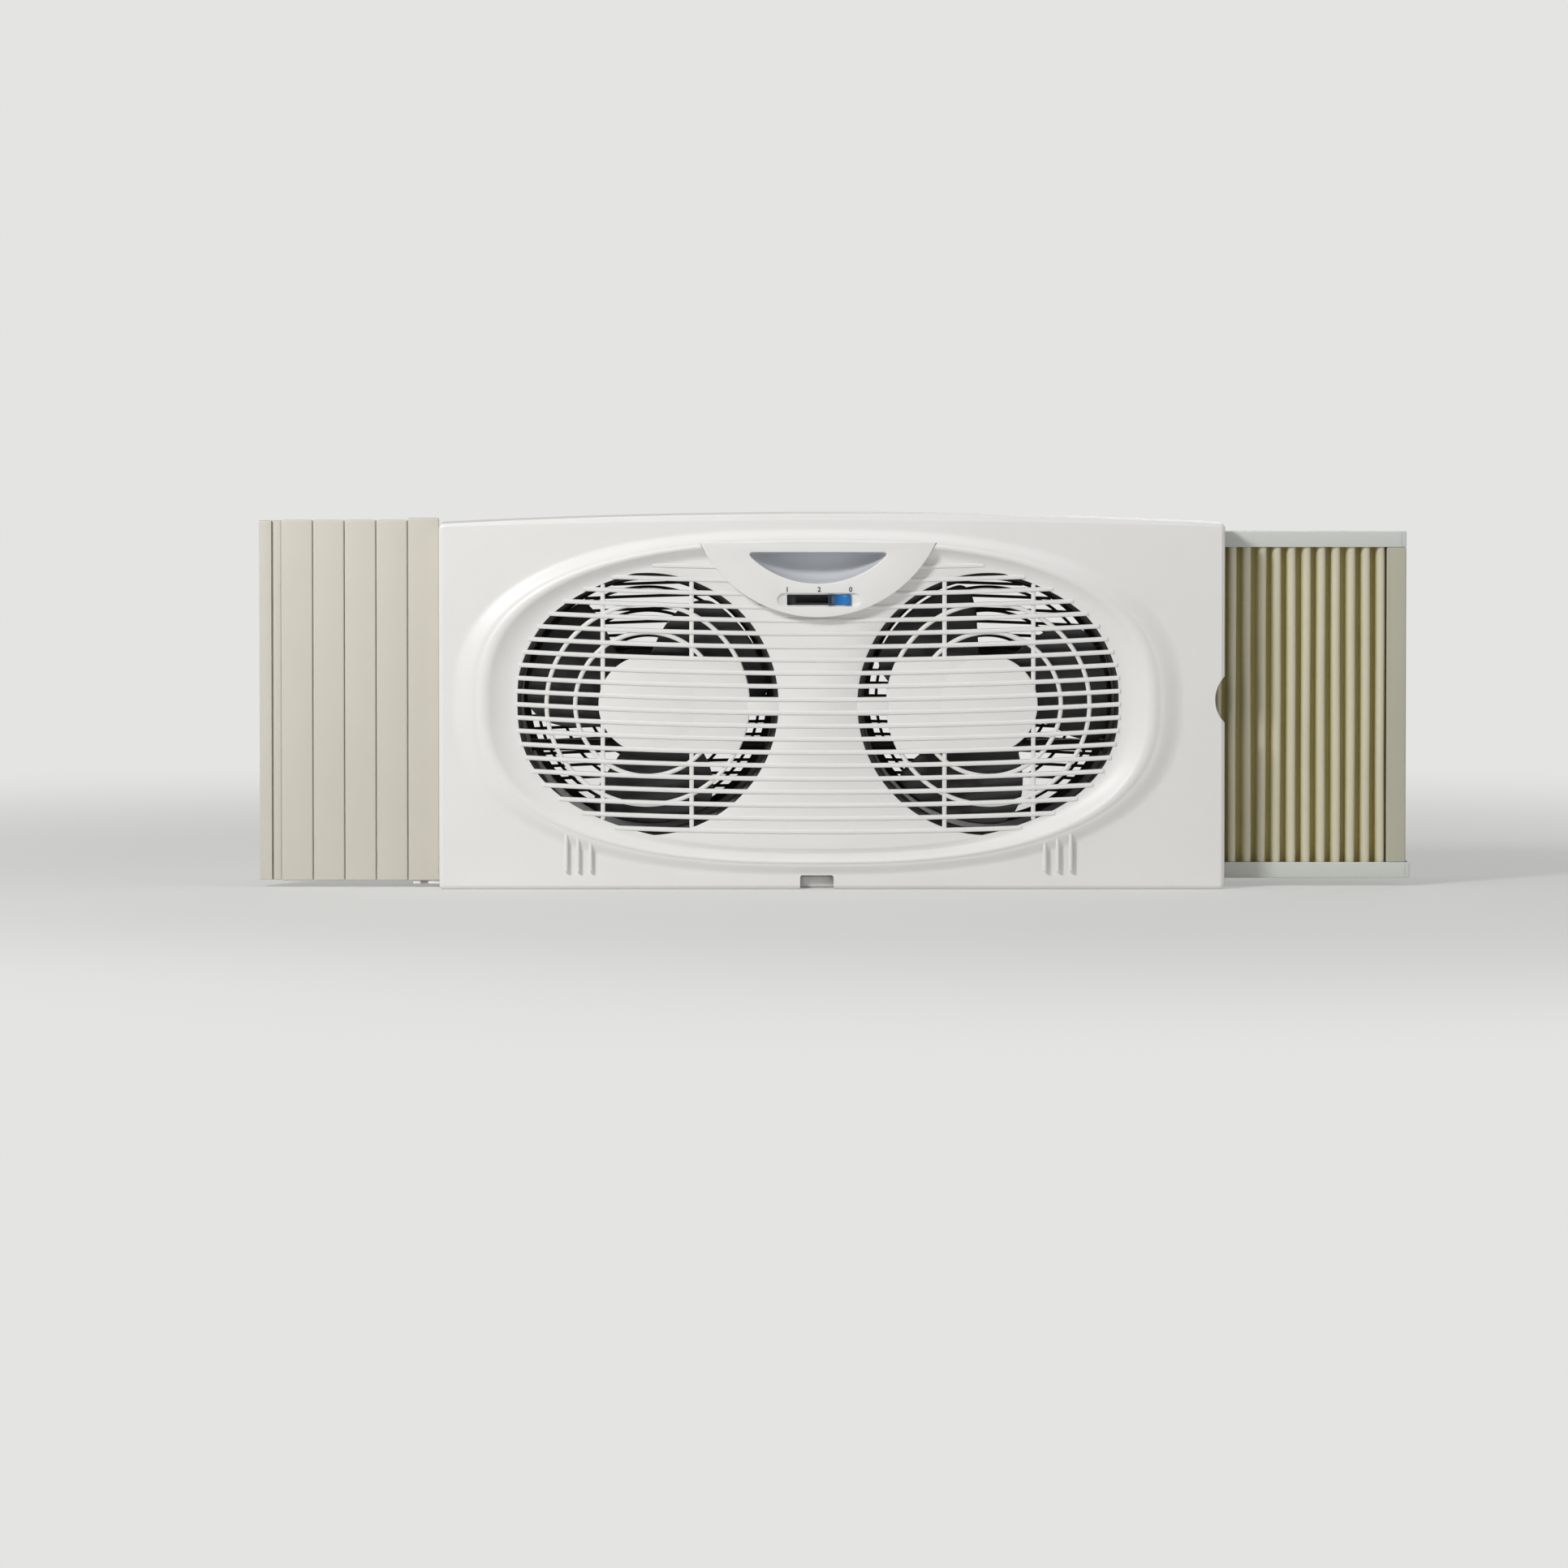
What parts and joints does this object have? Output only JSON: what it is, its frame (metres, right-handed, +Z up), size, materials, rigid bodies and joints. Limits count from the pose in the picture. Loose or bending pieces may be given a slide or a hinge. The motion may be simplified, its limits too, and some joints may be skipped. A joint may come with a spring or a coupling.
{
  "type": "window fan",
  "caption": "Twin window fan with an oval louvred grille, a sliding pleated expander on the right and a clip-on cream panel on the left.",
  "frame": {"origin": "On the flat bottom of the rear shell, midway between the two fan axes, 12 mm behind the seam of the two shells.", "axes": "+X to the right as seen from the room, +Z up, and -Y towards the room, so the grille faces -Y. Stored with the expander fully out and the knob at 0."},
  "size_m": [0.8576, 0.1036, 0.2795],
  "materials": {
    "white_plastic": "satin moulded plastic, warm white",
    "shaded_plastic": "satin moulded plastic, white, in a deep recess",
    "black_plastic": "moulded plastic, near black",
    "blue_plastic": "moulded plastic, clear mid blue",
    "nylon": "plain moulded nylon",
    "charcoal_plastic": "semi-gloss moulded plastic, charcoal",
    "grille_charcoal": "moulded plastic, brown charcoal",
    "steel_screw": "zinc-plated steel",
    "zinc_bell": "pressed and plated steel",
    "laminated_steel": "stacked laminations, oiled",
    "enamelled_copper": "enamelled copper wire",
    "bronze": "sintered bronze",
    "ground_steel": "ground steel",
    "rail_plastic": "moulded plastic, pale grey with a green cast",
    "stile_plastic": "moulded plastic, greyed cream",
    "pleat_plastic": "folded vinyl sheet, cream",
    "cream_plastic": "moulded plastic, warm cream"
  },
  "bodies": {
    "housing": {"front_shell": "white_plastic", "front_grille": "white_plastic", "grille_screws": "steel_screw", "control_panel": "white_plastic", "handle_cup": "shaded_plastic", "switch_track": "black_plastic", "switch_body": "black_plastic", "rear_shell": "charcoal_plastic", "shell_screws": "steel_screw", "rear_grille_left": "grille_charcoal", "rear_grille_right": "grille_charcoal", "fan_shroud_left": "charcoal_plastic", "fan_shroud_right": "charcoal_plastic", "motor_front_bell_left": "zinc_bell", "motor_front_bell_right": "zinc_bell", "motor_stator_left": "laminated_steel", "motor_stator_right": "laminated_steel", "motor_windings_left": "enamelled_copper", "motor_windings_right": "enamelled_copper", "motor_rear_bell_left": "zinc_bell", "motor_rear_bell_right": "zinc_bell", "motor_bushes_left": "bronze", "motor_bushes_right": "bronze", "motor_bolts": "steel_screw", "expander_guide_top": "nylon", "expander_guide_bottom": "nylon", "pleat_anchor": "pleat_plastic", "side_panel": "cream_plastic", "side_panel_edge": "cream_plastic", "panel_clip": "white_plastic", "cord_inlet": "black_plastic"},
    "left_impeller": {"impeller_left": "charcoal_plastic", "impeller_nut_left": "steel_screw", "shaft_left": "ground_steel", "rotor_left": "laminated_steel"},
    "right_impeller": {"impeller_right": "charcoal_plastic", "impeller_nut_right": "steel_screw", "shaft_right": "ground_steel", "rotor_right": "laminated_steel"},
    "speed_slider": {"speed_knob": "blue_plastic", "switch_link": "nylon"},
    "expander": {"expander_rail_top": "rail_plastic", "expander_rail_bottom": "rail_plastic", "expander_stile": "stile_plastic", "expander_pleats": "pleat_plastic"}
  },
  "joints": [
    {"name": "left_fan_spin", "type": "hinge", "parent": "housing", "child": "left_impeller", "pos_m": [-0.127, 0, 0.1376], "axis": [0, 1, 0], "continuous": true},
    {"name": "right_fan_spin", "type": "hinge", "parent": "housing", "child": "right_impeller", "pos_m": [0.127, 0, 0.1376], "axis": [0, 1, 0], "continuous": true},
    {"name": "speed_slide", "type": "slide", "parent": "housing", "child": "speed_slider", "axis": [1, 0, 0], "range_m": [-0.03, 0]},
    {"name": "expander_slide", "type": "slide", "parent": "housing", "child": "expander", "axis": [1, 0, 0], "range_m": [-0.12, 0], "deforming": ["expander_pleats"]}
  ]
}
